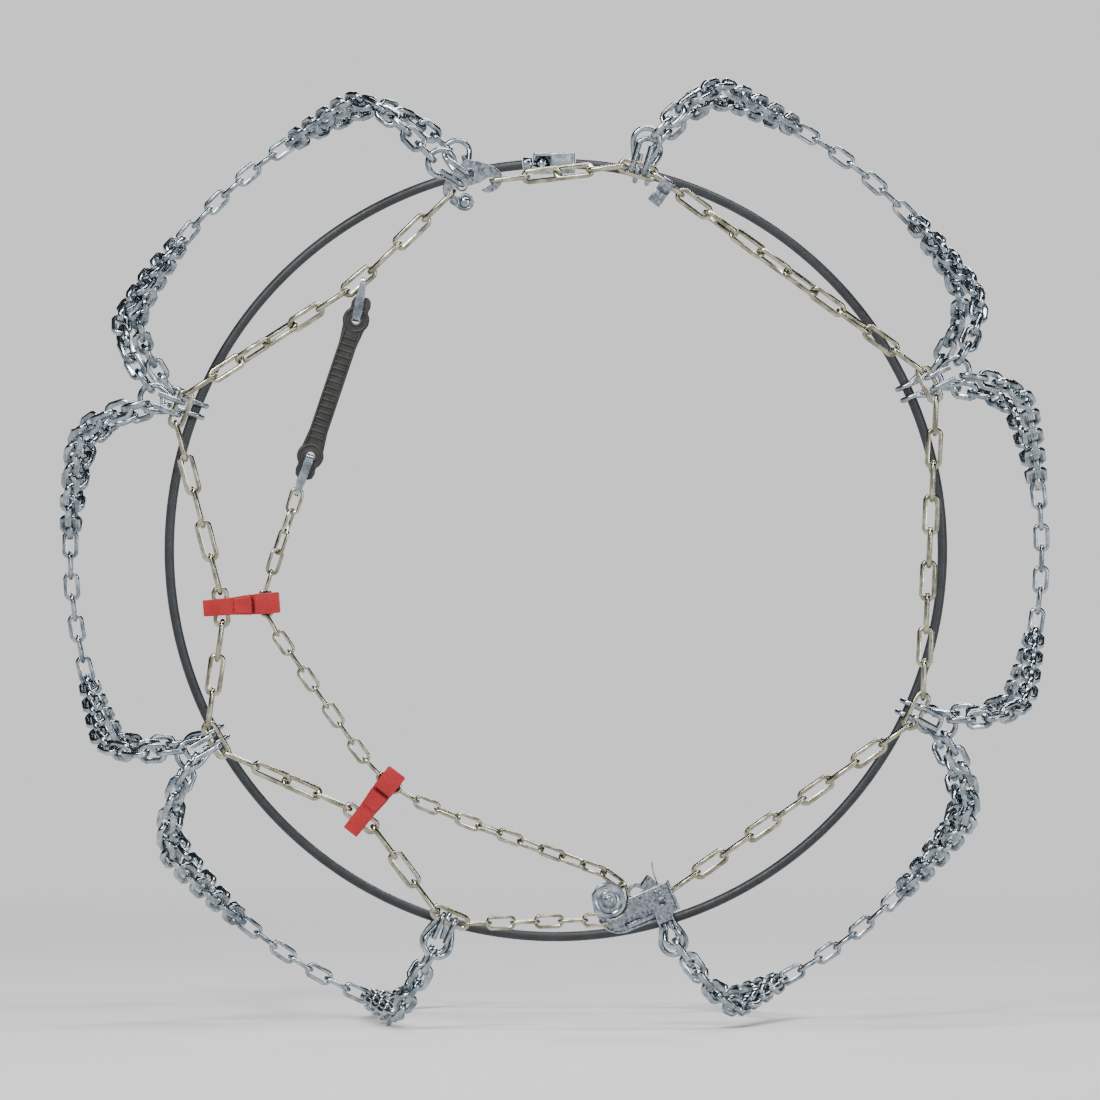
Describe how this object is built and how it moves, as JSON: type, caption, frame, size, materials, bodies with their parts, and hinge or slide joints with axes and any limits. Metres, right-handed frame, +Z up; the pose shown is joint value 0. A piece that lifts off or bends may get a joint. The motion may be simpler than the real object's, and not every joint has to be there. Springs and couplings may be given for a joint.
{
  "type": "tire_snow_chain",
  "caption": "Ladder-and-diamond snow chain for a passenger-car tyre, as mounted: zinc-plated tread net, side chain with closing hook, ratchet tensioner, red clips, rubber strap and cable hoop",
  "frame": {"origin": "centre of the wheel that carries the chain, on the axle line, midway between the two sides of the tyre", "axes": "Y along the axle with the outer face towards -Y, Z up, X to the right seen from outside"},
  "size_m": [0.7285, 0.2919, 0.6884],
  "materials": {
    "zinc_plated_steel": "bright zinc plate on hardened steel, satin",
    "yellow_zinc_steel": "zinc plate with a faint yellow passivation, satin",
    "plated_sheet_steel": "zinc-plated pressed sheet, slightly grained",
    "red_nylon": "moulded red nylon",
    "black_rubber": "ribbed black rubber",
    "cable_sheath": "grey-black sheath over steel cable"
  },
  "bodies": {
    "chain": {"dome_rivet": "zinc_plated_steel", "pulley_pin": "zinc_plated_steel", "pawl_pin": "zinc_plated_steel", "hoop_ball_end": "zinc_plated_steel", "hoop_socket": "zinc_plated_steel", "outer_shackle_1": "zinc_plated_steel", "outer_shackle_2": "zinc_plated_steel", "outer_shackle_3": "zinc_plated_steel", "outer_shackle_4": "zinc_plated_steel", "outer_shackle_5": "zinc_plated_steel", "outer_shackle_6": "zinc_plated_steel", "outer_shackle_7": "zinc_plated_steel", "outer_shackle_8": "zinc_plated_steel", "inner_shackle_1": "zinc_plated_steel", "inner_shackle_2": "zinc_plated_steel", "inner_shackle_3": "zinc_plated_steel", "inner_shackle_4": "zinc_plated_steel", "inner_shackle_5": "zinc_plated_steel", "inner_shackle_6": "zinc_plated_steel", "inner_shackle_7": "zinc_plated_steel", "inner_shackle_8": "zinc_plated_steel", "cross_chain_3_to_2": "zinc_plated_steel", "cross_chain_4_to_3": "zinc_plated_steel", "cross_chain_5_to_4": "zinc_plated_steel", "cross_chain_7_to_6": "zinc_plated_steel", "cross_chain_8_to_7": "zinc_plated_steel", "cross_chain_1_to_8": "zinc_plated_steel", "cross_chain_2_to_3": "zinc_plated_steel", "cross_chain_3_to_4": "zinc_plated_steel", "cross_chain_4_to_5": "zinc_plated_steel", "cross_chain_6_to_7": "zinc_plated_steel", "cross_chain_7_to_8": "zinc_plated_steel", "cross_chain_8_to_1": "zinc_plated_steel", "side_chain_1_8": "yellow_zinc_steel", "side_chain_8_7": "yellow_zinc_steel", "side_chain_7_6": "yellow_zinc_steel", "side_chain_5_4": "yellow_zinc_steel", "side_chain_4_3": "yellow_zinc_steel", "side_chain_3_2": "yellow_zinc_steel", "side_chain_2_1": "yellow_zinc_steel", "tension_chain_6_to_lower_clip": "yellow_zinc_steel", "tension_chain_between_clips": "yellow_zinc_steel", "tension_chain_to_strap": "yellow_zinc_steel", "hook_plate": "plated_sheet_steel", "ratchet_housing": "plated_sheet_steel", "upper_clip": "red_nylon", "lower_clip": "red_nylon", "hoop_cable": "cable_sheath"},
    "pulley": {"pulley": "plated_sheet_steel"},
    "pawl": {"pawl": "plated_sheet_steel", "pawl_spring": "zinc_plated_steel"},
    "keeper": {"keeper_plate": "plated_sheet_steel"},
    "strap": {"upper_strap_hook": "zinc_plated_steel", "rubber_strap": "black_rubber", "lower_strap_hook": "zinc_plated_steel"},
    "tab": {"drop_tab": "plated_sheet_steel"}
  },
  "joints": [
    {"name": "pulley_spin", "type": "hinge", "parent": "chain", "child": "pulley", "pos_m": [0.0381, -0.137, -0.2518], "axis": [0, 1, 0], "continuous": true},
    {"name": "pawl_pivot", "type": "hinge", "parent": "chain", "child": "pawl", "pos_m": [0.07254, -0.137, -0.24676], "axis": [0, 1, 0], "range_deg": [0, 18], "stiffness_Nm_per_rad": 0.02, "springref_deg": -17.19},
    {"name": "keeper_swivel", "type": "hinge", "parent": "chain", "child": "keeper", "pos_m": [-0.0655, -0.13545, 0.2502], "axis": [0, 1, 0], "range_deg": [-60, 0]},
    {"name": "strap_swing", "type": "hinge", "parent": "chain", "child": "strap", "pos_m": [-0.13923, -0.137, 0.19014], "axis": [-0.7709, 0, -0.6369], "range_deg": [0, 60]},
    {"name": "tab_slide", "type": "slide", "parent": "chain", "child": "tab", "axis": [-0.807, 0, 0.5906], "range_m": [-0.0025, 0.0025]}
  ]
}
